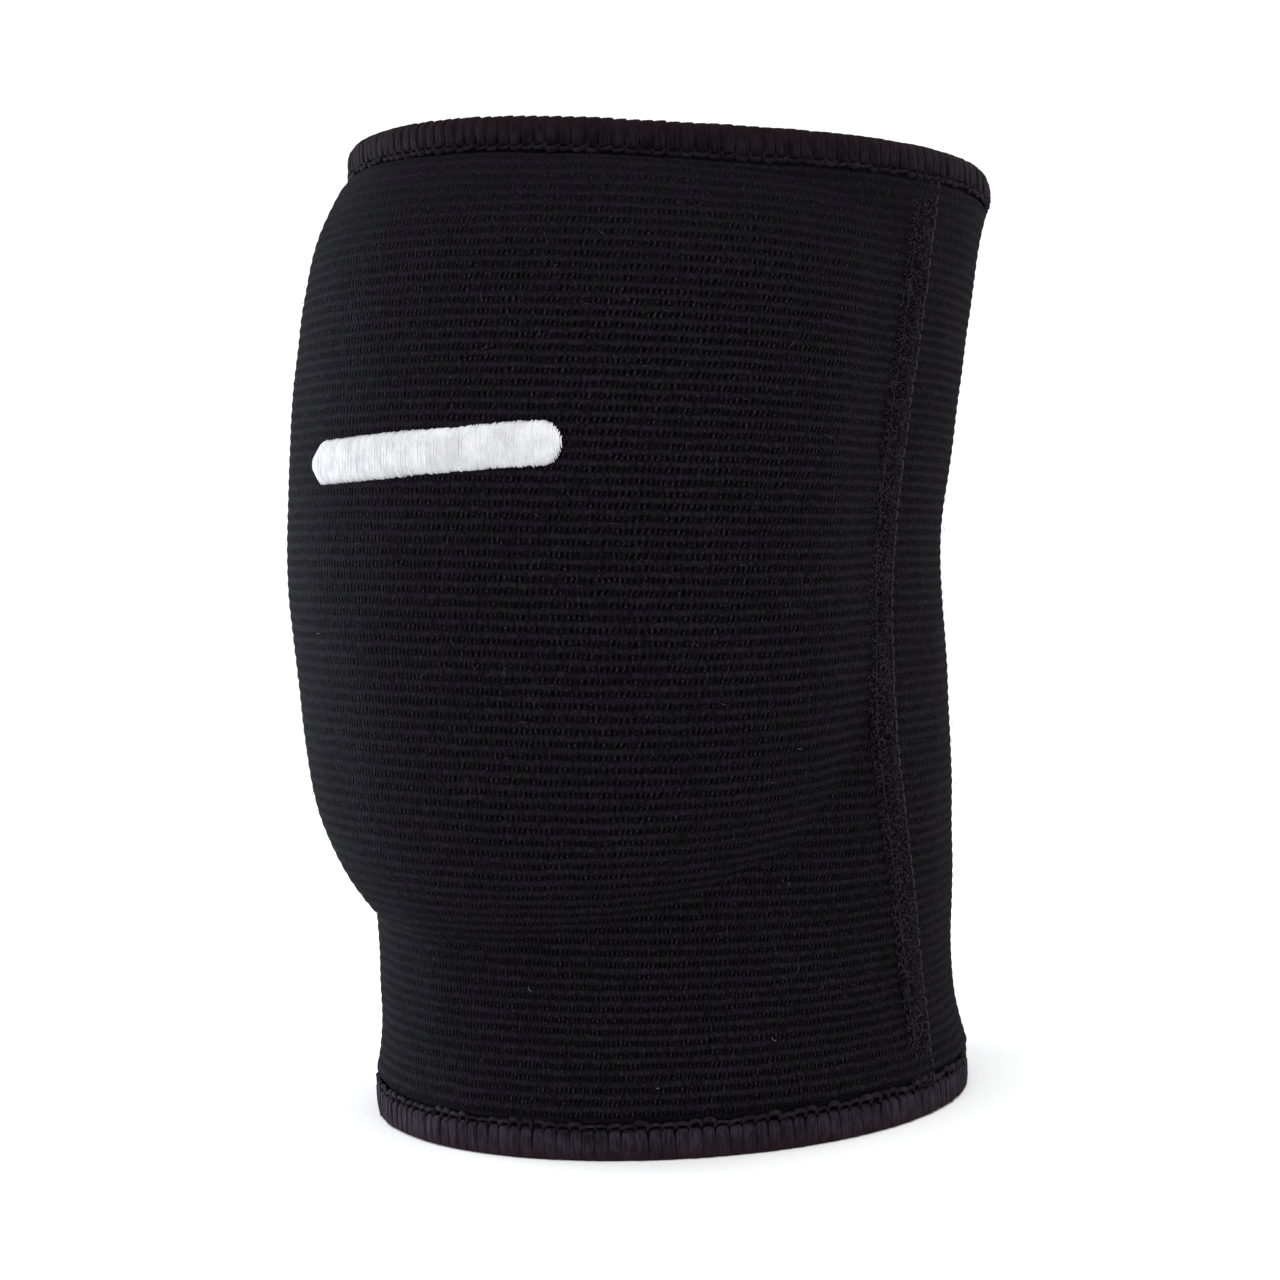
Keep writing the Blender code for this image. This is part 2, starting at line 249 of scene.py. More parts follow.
# Repeated stitches: their thread, how far each one turns at random about its own axes, in radians, how far its size
# strays along them, as a share, and the seed of both
STITCHES = {
    "top_hem_wraps": ("wrap_thread", (0.03, 0.05, 0.05), (0.04, 0.14, 0.03), 21),
    "top_hem_loops": ("loop_thread", (0.20, 0.15, 0.22), (0.10, 0.25, 0.35), 22),
    # The lower hem takes the thread copies painted lighter as light from the floor
    "bottom_hem_wraps": ("floor_lit_wrap_thread", (0.03, 0.05, 0.05), (0.04, 0.14, 0.03), 24),
    "bottom_hem_loops": ("floor_lit_loop_thread", (0.20, 0.15, 0.22), (0.10, 0.25, 0.35), 25),
    "seam_loops": ("seam_looper", (0.2, 0.2, 0.2), (0.1, 0.1, 0.1), 32),
    "seam_needle_1": ("needle_thread", (0.03, 0.05, 0.03), (0.10, 0.15, 0.08), 33),
    "seam_needle_2": ("seam_looper", (0.03, 0.05, 0.03), (0.10, 0.15, 0.08), 34),
    "satin_bar": ("satin_thread", (0.008, 0.01, 0.02), (0.0, 0.02, 0.0), 41),
    "stray_fibres": ("stray_fibre", (0.3, 0.5, 0.3), (0.3, 0.3, 0.3), 52),
    "lint": ("white_lint", (0.3, 0.9, 0.3), (0.3, 0.3, 0.3), 53),
}

# Seeds of the places and sizes that are scattered before the stitches are repeated
SATIN_CHANCE = 5
SEAM_CHANCE = 31
FIBRE_CHANCE = 51

# Camera, as it looked at the real pad, and the pixels that place its middle in a frame of PHOTO_PIXELS
PHOTO_PIXELS = 1280
EYE_TURN = math.radians(40)
EYE_DISTANCE = 0.480
EYE_HEIGHT = 0.1055
EYE_ROLL = math.radians(2.9)
EYE_PIXELS_PER_RADIAN = 2390
MIDDLE_PIXEL = (643, 567)
SENSOR = 36.0

# Studio: each light's turn from the camera's own direction in degrees, distance, height, size, power and colour
LIGHTS = {
    "left_strip": (-120, 0.60, 0.03, (0.30, 0.35), 8.5, (0.82, 0.88, 1.0)),
    "right_strip": (124, 0.60, 0.36, (0.30, 0.4), 1.1, (0.92, 0.94, 1.0)),
    "top_box": (-10, 0.35, 0.85, (0.5, 0.3), 2.5, (1.0, 1.0, 1.0)),
}
LIGHTS_AIM = (0, 0, 0.09)
SURROUNDINGS = 1.12
FLOOR_REACH = 60.0

# Tube without the cushion: height as a share of HEIGHT, widening as a share of TOP_FLARE, and the forward
# shift of its centre, which hollows the back of the knee, as a share of KNEE_BOW.
TUBE = {
    "height": (0.00, 0.04, 0.07, 0.11, 0.25, 0.34, 0.47, 0.62, 0.73, 0.82, 0.91, 0.98, 1.03),
    "widening": (0.22, 0.17, 0.08, 0.00, 0.10, 0.14, 0.06, 0.00, 0.20, 0.47, 0.76, 1.00, 1.06),
    "shift": (-0.15, -0.12, -0.05, 0.08, 0.32, 0.45, 0.71, 1.00, 0.73, 0.43, 0.21, 0.09, 0.07),
}

# Bulge along the cushion, from its lower edge to its upper edge, as shares of its length and PAD_THICKNESS.
PAD_ALONG = {
    "length": (0.00, 0.03, 0.06, 0.09, 0.12, 0.17, 0.23, 0.31, 0.40, 0.50, 0.62, 0.73, 0.84, 0.90, 0.95, 0.98, 1.00),
    "bulge": (0.00, 0.20, 0.39, 0.54, 0.65, 0.77, 0.85, 0.92, 0.98, 1.00, 0.99, 0.94, 0.79, 0.65, 0.43, 0.24, 0.08),
}

# Bulge across the cushion, from its middle to its side, as shares of PAD_HALF_TURN and PAD_THICKNESS.
PAD_ACROSS = {
    "turn": (0.00, 0.30, 0.50, 0.65, 0.80, 0.92, 1.00),
    "bulge": (1.00, 1.00, 0.96, 0.82, 0.48, 0.12, 0.00),
}

# Rounded corners of the cushion: how far its lower edge climbs and its upper edge drops, as shares of HEIGHT.
PAD_CORNERS = {
    "turn": (0.00, 0.35, 0.56, 0.78, 0.91, 1.00),
    "lower": (0.000, 0.019, 0.050, 0.110, 0.190, 0.240),
    "upper": (0.000, 0.000, 0.005, 0.020, 0.045, 0.070),
}

# Pitch of the ribs along the sleeve, against their average: it is closest just under the cushion and at the top.
RIB_PACE = {
    "length": (0.00, 0.06, 0.14, 0.21, 0.30, 0.37, 0.46, 0.54, 0.61, 0.69, 0.77, 0.85, 0.92, 1.00),
    "pitch": (0.95, 0.95, 0.90, 0.96, 0.99, 0.99, 0.99, 0.97, 0.95, 0.93, 0.92, 0.93, 0.95, 0.97),
}

# Wander of the side seam, as shares of HEIGHT and SEAM_TURN: it gives way behind the cushion's corner.
SEAM_PATH = {
    "height": (0.00, 0.11, 0.20, 0.30, 0.40, 0.50, 0.62, 0.80, 1.00),
    "turn": (1.050, 1.048, 1.018, 0.980, 0.953, 0.955, 0.978, 0.990, 0.993),
}

# Steps over which directions on the outer face and along the seam are measured, and samples of lengths
FRAME_STEP = 0.0004
SEAM_STEP = 0.0005
LENGTH_SAMPLES = 600
PACE_SAMPLES = 400


def curve_through(table, along, value, x):
    """Reads a smooth curve through two columns of a table; beyond its ends the end value holds."""
    xs = np.array(table[along])
    ys = np.array(table[value])
    slopes = np.gradient(ys, xs)
    slopes[0] = slopes[-1] = 0.0
    x = np.clip(x, xs[0], xs[-1])
    i = np.clip(np.searchsorted(xs, x, side="right") - 1, 0, len(xs) - 2)
    step = xs[i + 1] - xs[i]
    t = (x - xs[i]) / step
    rise = ys[i + 1] - ys[i]
    start = slopes[i] * step
    end = slopes[i + 1] * step
    return ys[i] + t * (start + t * (3 * rise - 2 * start - end + t * (start + end - 2 * rise)))


def pad_turn_share(turn):
    """How far a turn lies from the cushion's middle, as a share of its half width."""
    away = (turn - PAD_TURN + math.pi) % (2 * math.pi) - math.pi
    return np.abs(away) / PAD_HALF_TURN


def rim_height(turn):
    """Height of the upper hem's top."""
    away = (turn - RIM_SAG_TURN + math.pi) % (2 * math.pi) - math.pi
    rise = RIM_RISE * (1 + np.cos(turn - RIM_PEAK_TURN)) / 2
    return HEIGHT + rise - RIM_SAG * np.exp(-((away / RIM_SAG_SPREAD) ** 2))


def pad_lower(turn):
    """Height of the cushion's lower edge."""
    return PAD_LOWER_EDGE + HEIGHT * curve_through(PAD_CORNERS, "turn", "lower", pad_turn_share(turn))


def pad_upper(turn):
    """Height of the cushion's upper edge, just under the upper hem."""
    drop = HEIGHT * curve_through(PAD_CORNERS, "turn", "upper", pad_turn_share(turn))
    return rim_height(turn) - TOP_HEM_DEPTH - PAD_UPPER_MARGIN - drop


def bulge(turn, height):
    """How far the cushion pushes the sleeve out."""
    lower = pad_lower(turn)
    length_share = (height - lower) / (pad_upper(turn) - lower)
    across = curve_through(PAD_ACROSS, "turn", "bulge", pad_turn_share(turn))
    return PAD_THICKNESS * across * curve_through(PAD_ALONG, "length", "bulge", length_share)


def tube_radius(height):
    return SLEEVE_RADIUS + TOP_FLARE * curve_through(TUBE, "height", "widening", height / HEIGHT)


def centre_at(height):
    """Points on the tube's centre line, which leans back and bows forward behind the knee."""
    height = np.asarray(height, float)
    lean = LEAN * height / HEIGHT
    bow = KNEE_BOW * curve_through(TUBE, "height", "shift", height / HEIGHT)
    return np.stack([lean * math.sin(LEAN_TURN), -lean * math.cos(LEAN_TURN) - bow, height], -1)


def place_on_origin():
    """Where the tube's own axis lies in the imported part, read from the lower hem, which is round."""
    low, high = (np.array(corner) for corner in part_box("bottom_hem"))
    middle = (low + high) / 2
    return middle[:2] - centre_at(middle[2])[:2]


AXIS = np.append(place_on_origin(), 0.0)


def at_radius(turn, height, radius):
    """Points at a turn and height, a radius away from the tube's centre line."""
    turn, height, radius = np.broadcast_arrays(turn, height, radius)
    around = np.stack([np.sin(turn), -np.cos(turn), np.zeros_like(turn, float)], -1)
    return AXIS + centre_at(height) + radius[..., None] * around


def outer_point(turn, height):
    """Points on the sleeve's outer face."""
    return at_radius(turn, height, tube_radius(height) + bulge(turn, height))


def outer_frame(turn, height):
    """Directions at points of the outer face: round the sleeve, up it, and straight out of it."""
    side = FRAME_STEP / SLEEVE_RADIUS
    across = outer_point(turn + side, height) - outer_point(turn - side, height)
    upward = outer_point(turn, height + FRAME_STEP) - outer_point(turn, height - FRAME_STEP)
    return unit(across), unit(upward), unit(np.cross(across, upward))


def unit(vectors):
    return vectors / np.linalg.norm(vectors, axis=-1, keepdims=True)


def smooth_noise(seed, u, v, cells_u, cells_v):
    """Gentle random swell between -1 and 1 over a surface, which meets itself after a whole turn of u."""
    knots = np.random.default_rng(seed).uniform(-1, 1, (cells_u, cells_v + 2))
    x = (u % 1.0) * cells_u
    y = np.clip(v, 0, 1) * cells_v
    i = np.floor(x).astype(int)
    j = np.floor(y).astype(int)
    s = (1 - np.cos(math.pi * (x - i))) / 2
    t = (1 - np.cos(math.pi * (y - j))) / 2
    i, beside = i % cells_u, (i + 1) % cells_u
    lower = knots[i, j] * (1 - s) + knots[beside, j] * s
    upper = knots[i, j + 1] * (1 - s) + knots[beside, j + 1] * s
    return lower * (1 - t) + upper * t


def unevenness(layers, u, v):
    """The sum of some gentle swells, each given as its amplitude, seed and cells."""
    return sum(amount * smooth_noise(seed, u, v, *cells) for amount, seed, *cells in layers)


def heights_by_length(turns, shares, low, high):
    """Heights at shares of the outer face's own length from low to high, for each turn. Ribs follow it, so they
    crowd together where the sleeve turns in under the cushion."""
    grid = low[:, None] + (high - low)[:, None] * np.linspace(0, 1, LENGTH_SAMPLES)
    points = outer_point(turns[:, None], grid)
    runs = np.linalg.norm(np.diff(points, axis=1), axis=2)
    length = np.concatenate([np.zeros((len(turns), 1)), np.cumsum(runs, axis=1)], axis=1)
    length /= length[:, -1:]
    return np.stack([np.interp(shares, length[i], grid[i]) for i in range(len(turns))])


def mesh_object(name, points, faces, uv=None, worn=None):
    """A mesh piece at the origin; uv holds a pair for each face corner and worn a value for each point."""
    mesh = bpy.data.meshes.new(name)
    mesh.from_pydata(np.asarray(points).tolist(), [], faces)
    if uv is not None:
        layer = mesh.uv_layers.new(name="cloth")
        layer.data.foreach_set("uv", np.asarray(uv, np.float32).ravel())
    if worn is not None:
        mesh.attributes.new("worn", "FLOAT", "POINT").data.foreach_set("value", np.asarray(worn, np.float32))
    mesh.shade_smooth()
    made = bpy.data.objects.new(name, mesh)
    bpy.context.scene.collection.objects.link(made)
    return made


def ring_faces(columns, rows, first=0, flip=False):
    """Faces of a grid that closes on itself round its columns, and each face corner's column and row."""
    i, j = (index.ravel() for index in np.meshgrid(np.arange(columns), np.arange(rows - 1), indexing="ij"))
    corners = np.stack([np.stack([i, i + 1, i + 1, i], -1), np.stack([j, j, j + 1, j + 1], -1)], -1)
    if flip:
        corners = corners[:, ::-1]
    faces = first + corners[..., 0] % columns * rows + corners[..., 1]
    return faces.tolist(), corners.reshape(-1, 2)


def tube_faces(sections, size, first=0):
    """Faces of a closed tube through a number of sections with so many points each, and of its two ends."""
    faces = []
    for r in range(sections - 1):
        for k in range(size):
            a = first + r * size + k
            b = first + r * size + (k + 1) % size
            faces.append((a, b, b + size, a + size))
    last = first + (sections - 1) * size
    return faces + [tuple(reversed(range(first, first + size))), tuple(range(last, last + size))]


def thread_mesh(paths, sides, taper):
    """Round threads along paths of (points, radius, worn value); their ends narrow and close."""
    points = []
    faces = []
    worn = []
    for path, radius, wear in paths:
        path = np.asarray(path, float)
        count = len(path)
        along = unit(np.gradient(path, axis=0))
        helper = (0.0, 1.0, 0.0) if abs(along[:, 0]).max() > 0.9 else (1.0, 0.0, 0.0)
        first = unit(np.cross(along, helper))
        second = np.cross(along, first)
        faces += tube_faces(count, sides, len(points))
        worn += [wear] * (count * sides)
        for k in range(count):
            thick = radius * (taper if k in (0, count - 1) else 1.0)
            for s in range(sides):
                angle = 2 * math.pi * s / sides
                points.append(path[k] + thick * (math.cos(angle) * first[k] + math.sin(angle) * second[k]))
    return points, faces, None, worn


def node_tree(name, sockets):
    """An empty geometry node tree with the named inputs, its input node and its output node."""
    tree = bpy.data.node_groups.new(name, "GeometryNodeTree")
    tree.interface.new_socket("Geometry", in_out="INPUT", socket_type="NodeSocketGeometry")
    for label, kind in sockets:
        tree.interface.new_socket(label, in_out="INPUT", socket_type=kind)
    tree.interface.new_socket("Geometry", in_out="OUTPUT", socket_type="NodeSocketGeometry")
    return tree, tree.nodes.new("NodeGroupInput"), tree.nodes.new("NodeGroupOutput")


def added(tree, kind, output, inputs, **settings):
    """Adds a node with its settings, gives its inputs their links or values, and returns one of its outputs."""
    node = tree.nodes.new(kind)
    for label, value in settings.items():
        setattr(node, label, value)
    for label, value in inputs.items():
        if isinstance(value, bpy.types.NodeSocket):
            tree.links.new(value, node.inputs[label])
        else:
            node.inputs[label].default_value = value
    return node.outputs[output]


def random_vector(tree, spread, seed):
    """A random vector between minus and plus spread."""
    ends = {
        "Min": added(tree, "ShaderNodeVectorMath", "Vector", {0: spread, "Scale": -1.0}, operation="SCALE"),
        "Max": spread,
    }
    return added(tree, "FunctionNodeRandomValue", "Value", {**ends, "Seed": seed}, data_type="FLOAT_VECTOR")


def repeat_tree():
    """Puts a stitch on every point, turned and sized by the point's own vectors with a little disorder."""
    tree, given, result = node_tree("repeat_stitch", [
        ("Stitch", "NodeSocketObject"),
        ("Material", "NodeSocketMaterial"),
        ("Turn disorder", "NodeSocketVector"),
        ("Size disorder", "NodeSocketVector"),
        ("Seed", "NodeSocketInt"),
    ])
    given = given.outputs
    turned, sized = (
        added(tree, "GeometryNodeInputNamedAttribute", "Attribute", {"Name": name}, data_type="FLOAT_VECTOR")
        for name in ("turned", "sized")
    )
    turn, stray = (random_vector(tree, given[name], given["Seed"]) for name in ("Turn disorder", "Size disorder"))
    size = added(tree, "ShaderNodeVectorMath", "Vector", {0: (1.0, 1.0, 1.0), 1: stray})
    stitch = added(tree, "GeometryNodeObjectInfo", "Geometry", {"Object": given["Stitch"]})
    spots = {"Points": given["Geometry"], "Instance": stitch, "Rotation": turned, "Scale": sized}
    placed = added(tree, "GeometryNodeInstanceOnPoints", "Instances", spots)
    placed = added(tree, "GeometryNodeRotateInstances", "Instances", {"Instances": placed, "Rotation": turn})
    placed = added(tree, "GeometryNodeScaleInstances", "Instances", {"Instances": placed, "Scale": size})
    made = added(tree, "GeometryNodeRealizeInstances", "Geometry", {"Geometry": placed})
    made = added(tree, "GeometryNodeSetMaterial", "Geometry", {"Geometry": made, "Material": given["Material"]})
    tree.links.new(made, result.inputs["Geometry"])
    return tree


def set_input(modifier, tree, label, value):
    """Gives a modifier's named input its value, by the socket's identifier."""
    for item in tree.interface.items_tree:
        if item.item_type == "SOCKET" and item.in_out == "INPUT" and item.name == label:
            modifier[item.identifier] = value


def plain_mesh(name, source):
    """The evaluated result of a modifier as a piece of its own; the source goes."""
    graph = bpy.context.evaluated_depsgraph_get()
    mesh = bpy.data.meshes.new_from_object(source.evaluated_get(graph), depsgraph=graph)
    mesh.name = name
    mesh.shade_smooth()
    made = bpy.data.objects.new(name, mesh)
    bpy.context.scene.collection.objects.link(made)
    bpy.data.objects.remove(source, do_unlink=True)
    return made


def repeat(name, places, axes, sizes, stitch):
    """Repeats a stitch mesh at places. axes are the directions of its own x, y and z at each place."""
    thread, turn_disorder, size_disorder, seed = STITCHES[name]
    turned = [tuple(Matrix(np.stack(directions, axis=1)).to_euler()) for directions in zip(*axes)]
    points = mesh_object(name + "_points", places, [])
    for label, values in (("turned", turned), ("sized", sizes)):
        attribute = points.data.attributes.new(label, "FLOAT_VECTOR", "POINT")
        attribute.data.foreach_set("vector", np.asarray(values, np.float32).ravel())
    piece = mesh_object(name + "_stitch", *stitch)
    modifier = points.modifiers.new("repeat", "NODES")
    modifier.node_group = REPEAT
    for label, value in (
        ("Stitch", piece),
        ("Material", MATERIALS[thread]),
        ("Turn disorder", turn_disorder),
        ("Size disorder", size_disorder),
        ("Seed", seed),
    ):
        set_input(modifier, REPEAT, label, value)
    made = plain_mesh(name, points)
    bpy.data.objects.remove(piece, do_unlink=True)
    return made


def belong(pieces, node):
    """Hides the node of the part that some pieces stand in for; nothing moves, so all of them ride on the root."""
    for piece in pieces:
        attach(piece, "root")
        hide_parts(node)


REPEAT = repeat_tree()


class Shader:
    """Short ways to lay out one material's nodes."""

    def __init__(self, name, roughness, sheen, sheen_tint, specular):
        self.material = bpy.data.materials.new(name)
        self.material.use_nodes = True
        self.nodes = self.material.node_tree.nodes
        self.links = self.material.node_tree.links
        self.add = partial(added, self.material.node_tree)
        self.surface = self.nodes["Principled BSDF"]
        for label, value in (
            ("Roughness", roughness),
            ("Sheen Weight", sheen),
            ("Sheen Roughness", 0.4),
            ("Sheen Tint", (*sheen_tint, 1.0)),
            ("Specular IOR Level", specular),
        ):
            self.surface.inputs[label].default_value = value

    def math(self, operation, a, b=0.0):
        return self.add("ShaderNodeMath", 0, {0: a, 1: b}, operation=operation)

    def between(self, value, low, high, to_low=0.0, to_high=1.0):
        """Value eased from one range to another."""
        ends = {"From Min": low, "From Max": high, "To Min": to_low, "To Max": to_high}
        return self.add("ShaderNodeMapRange", "Result", {"Value": value, **ends}, interpolation_type="SMOOTHSTEP")

    def times(self, *values):
        product = values[0]
        for value in values[1:]:
            product = self.math("MULTIPLY", product, value)
        return product

    def band(self, value, edges):
        """1 between the two middle edges, eased to 0 at the outer ones."""
        return self.times(self.between(value, *edges[:2]), self.between(value, *edges[2:], 1.0, 0.0))

    def coordinates(self, source):
        return self.add("ShaderNodeTexCoord", source, {})

    def noise(self, vector, scale, detail=2.0, stretch=(1.0, 1.0, 1.0)):
        place = self.add("ShaderNodeMapping", "Vector", {"Vector": vector, "Scale": stretch})
        return self.add("ShaderNodeTexNoise", "Fac", {"Vector": place, "Scale": scale, "Detail": detail})

    def mix(self, share, first, second):
        """First colour where the share is 0 and second where it is 1."""
        first, second = (tone if isinstance(tone, bpy.types.NodeSocket) else (*tone, 1.0) for tone in (first, second))
        return self.add("ShaderNodeMix", 2, {"Factor": share, 6: first, 7: second}, data_type="RGBA")

    def scaled(self, colour, amounts):
        """A colour times an amount for each of its channels."""
        return self.add("ShaderNodeVectorMath", "Vector", {0: colour, 1: amounts}, operation="MULTIPLY")

    def bump(self, height, distance):
        normal = self.add("ShaderNodeBump", "Normal", {"Strength": 1.0, "Distance": distance, "Height": height})
        self.links.new(normal, self.surface.inputs["Normal"])

    def colour(self, value):
        self.links.new(value, self.surface.inputs["Base Color"])


def knit_material():
    """Elastic knit: broad ridges with painted light on their crowns, and between them a row of slits in painted shade,
    with dashes of yarn in painted highlights. Its own map runs once round the sleeve and once up it."""
    look = Shader("black_knit", 0.95, 0.009, (0.84, 0.84, 1.0), 0.015)
    place = look.coordinates("Object")
    split = look.nodes.new("ShaderNodeSeparateXYZ")
    look.links.new(look.coordinates("UV"), split.inputs["Vector"])
    round_share, up_share = split.outputs["X"], split.outputs["Y"]

    # Ribs and slits, both a little out of line
    drift = look.math("SUBTRACT", look.noise(place, 230.0, 1.0), 0.5)
    ribs = look.math("ADD", look.times(up_share, RIBS), look.times(drift, RIB_DRIFT))
    up = look.math("FRACT", ribs)
    slits = look.math("ADD", look.times(round_share, 2 * WALES), look.times(up, SLIT_LEAN))
    slits = look.math("ADD", slits, look.times(drift, SLIT_DRIFT))
    corner = {"X": look.math("FLOOR", slits), "Y": look.math("FLOOR", ribs)}
    cell = look.add("ShaderNodeCombineXYZ", "Vector", corner)
    chance = look.add("ShaderNodeTexWhiteNoise", "Value", {"Vector": cell}, noise_dimensions="2D")
    away = look.math("ABSOLUTE", look.math("SUBTRACT", look.math("FRACT", slits), 0.5))
    row = look.times(look.band(up, SLIT_BAND), look.between(up_share, *SLIT_FADE))
    row = look.times(row, look.between(chance, 0.0, 0.9, 0.30, 1.0))
    # Slits: a real dent in the bump, and near black painted into them as their shade
    slit_dent_and_shade = look.times(look.between(away, 0.08, 0.34, 1.0, 0.0), row)

    # Yarn: dashes beside the slits and glints, both painted highlights, and crowns in painted light that its fibres
    #     break up
    fibre = look.noise(place, 1900.0, 3.0, (1.0, 1.0, 0.28))
    speck = look.noise(place, 3600.0, 1.0, (1.0, 1.0, 0.55))
    slow = look.noise(place, 130.0, 2.0)
    # Bright dashes of yarn beside the slits, and glints: painted highlights
    strand_highlight = look.times(look.between(away, 0.26, 0.42), row, look.between(speck, 0.48, 0.68))
    glint = look.times(look.between(speck, 0.62, 0.74), 0.7)
    # Crowns: the upper band of each rib painted lighter as light from above, broken up at random by fibres and a slow
    # swell
    crown = look.times(
        look.band(up, PAINTED_LIGHT_CROWN_BAND),
        look.between(fibre, 0.34, 0.64, 0.10, 1.0),
        look.between(slow, 0.30, 0.70, 0.70, 1.0),
    )
    tone = look.mix(crown, KNIT_VALLEY_PAINTED_SHADE, KNIT_CROWN_PAINTED_LIGHT)
    tone = look.mix(look.between(up_share, *PLAIN_FADE), tone, KNIT_PLAIN)
    tone = look.mix(look.math("MAXIMUM", strand_highlight, glint), tone, KNIT_PAINTED_HIGHLIGHT)
    tint = look.between(look.noise(place, 170.0, 2.0), 0.36, 0.58)
    tone = look.mix(tint, look.scaled(tone, KNIT_GREENISH), look.scaled(tone, KNIT_VIOLET))
    # Painted shade in the slits
    look.colour(look.mix(slit_dent_and_shade, tone, KNIT_SLIT_PAINTED_SHADE))
    look.bump(look.math("SUBTRACT", look.times(fibre, 0.5), slit_dent_and_shade), 0.0008)
    return look.material


def thread_material(
    name, light, dark, roughness, depth, worn=None, sheen=0.0, specular=0.03, stretch=(1.0, 1.0, 1.0), drift=0.0
):
    """Spun thread: fine fibres along it, a slow change of tone, and its own colour where it is worn."""
    look = Shader(name, roughness, sheen, (0.90, 0.84, 0.95), specular)
    place = look.coordinates("Object")
    fibre = look.noise(place, 3000.0, 3.0, stretch)
    share = look.math("ADD", look.times(fibre, 0.6), look.times(look.noise(place, 300.0, 2.0), 0.4))
    colour = look.mix(look.between(share, 0.38, 0.62), dark, light)
    warm = look.scaled(colour, (1 + drift, 1 - drift / 2, 1 - drift / 2))
    cool = look.scaled(colour, (1 - drift / 2, 1.0, 1 + drift))
    colour = look.mix(look.between(look.noise(place, 420.0, 2.0), 0.38, 0.62), warm, cool)
    wear = look.add("ShaderNodeAttribute", "Fac", {}, attribute_name="worn")
    wear = look.times(wear, look.between(fibre, 0.2, 0.8, 0.7, 1.0))
    look.colour(look.mix(wear, colour, worn or light))
    look.bump(fibre, depth)
    return look.material


def cover_material():
    """Brushed tricot over the cushion."""
    look = Shader("pad_cover", 0.9, 0.05, (0.85, 0.85, 0.95), 0.05)
    place = look.coordinates("Object")
    fine = look.noise(place, 1400.0, 3.0, (1.0, 1.0, 0.5))
    slow = look.noise(place, 60.0, 2.0)
    share = look.math("ADD", look.times(fine, 0.5), look.times(slow, 0.5))
    look.colour(look.mix(look.between(share, 0.35, 0.65), (0.010, 0.009, 0.012), (0.024, 0.022, 0.027)))
    look.bump(fine, 0.0003)
    return look.material


def floor_material():
    """Matt white studio paper."""
    look = Shader("studio_paper", 0.9, 0.0, (1.0, 1.0, 1.0), 0.1)
    grain = look.noise(look.coordinates("Object"), 900.0, 2.0)
    look.colour(look.mix(look.between(grain, 0.3, 0.7), (0.94, 0.94, 0.94), (0.95, 0.95, 0.95)))
    look.bump(grain, 0.00005)
    return look.material


def paced(shares):
    """Where along the sleeve each share of its ribs is reached."""
    length = np.linspace(0, 1, PACE_SAMPLES)
    ribs = np.cumsum(1 / np.interp(length, RIB_PACE["length"], RIB_PACE["pitch"]))
    return np.interp(shares, (ribs - ribs[0]) / (ribs[-1] - ribs[0]), length)


def knit_lift(turned, heights, shares):
    """How far the knit stands off the smooth outer face: its ribs, a slow swell, and beside each hem a flare that
    makes the two flush."""
    u = turned / (2 * math.pi) + 0.5
    v = np.broadcast_to(shares, heights.shape)
    above = heights - BOTTOM_HEM_DEPTH
    below = rim_height(turned) - TOP_HEM_DEPTH - heights
    ends = np.clip(np.minimum(v, 1 - v) * RIB_ENDS, 0, 1)
    crest = (1 - np.cos(2 * math.pi * (v * RIBS + unevenness(RIB_WANDER, u, v) * ends))) / 2
    relief = RIB_RELIEF * (np.power(crest, RIB_BREADTH) - RIB_MIDDLE) * ends * (1 + unevenness(RELIEF_DRIFT, u, v))
    relief *= TOP_RELIEF + (1 - TOP_RELIEF) * np.clip(below / TOP_RELIEF_REACH, 0, 1)
    lift = relief + unevenness(KNIT_SWELL, u, v) * ends
    for away, loop_away, flush, reach in (
        (above, BOTTOM_LOOP_AWAY, BOTTOM_FLUSH, BOTTOM_FLUSH_REACH), (below, TOP_LOOP_AWAY, TOP_FLUSH, TOP_FLUSH_REACH)
    ):
        rise = np.clip((away - loop_away - FLUSH_START) / FLUSH_RAMP, 0, 1)
        lift += flush * rise * (1 - np.clip(away / reach, 0, 1)) ** 2
    return lift


def raw_edge_faces(start):
    """Faces that close the knit's two raw edges, between its outer rows and the inner ones from start on."""
    faces = []
    uv = []
    for i in range(KNIT_COLUMNS):
        j = (i + 1) % KNIT_COLUMNS
        outer, inner = i * KNIT_ROWS, start + i * INSIDE_ROWS
        next_outer, next_inner = j * KNIT_ROWS, start + j * INSIDE_ROWS
        top, inner_top = KNIT_ROWS - 1, INSIDE_ROWS - 1
        faces.append((outer, inner, next_inner, next_outer))
        faces.append((next_outer + top, next_inner + inner_top, inner + inner_top, outer + top))
        uv += [(i / KNIT_COLUMNS, 0.0)] * 4 + [(i / KNIT_COLUMNS, 1.0)] * 4
    return faces, uv


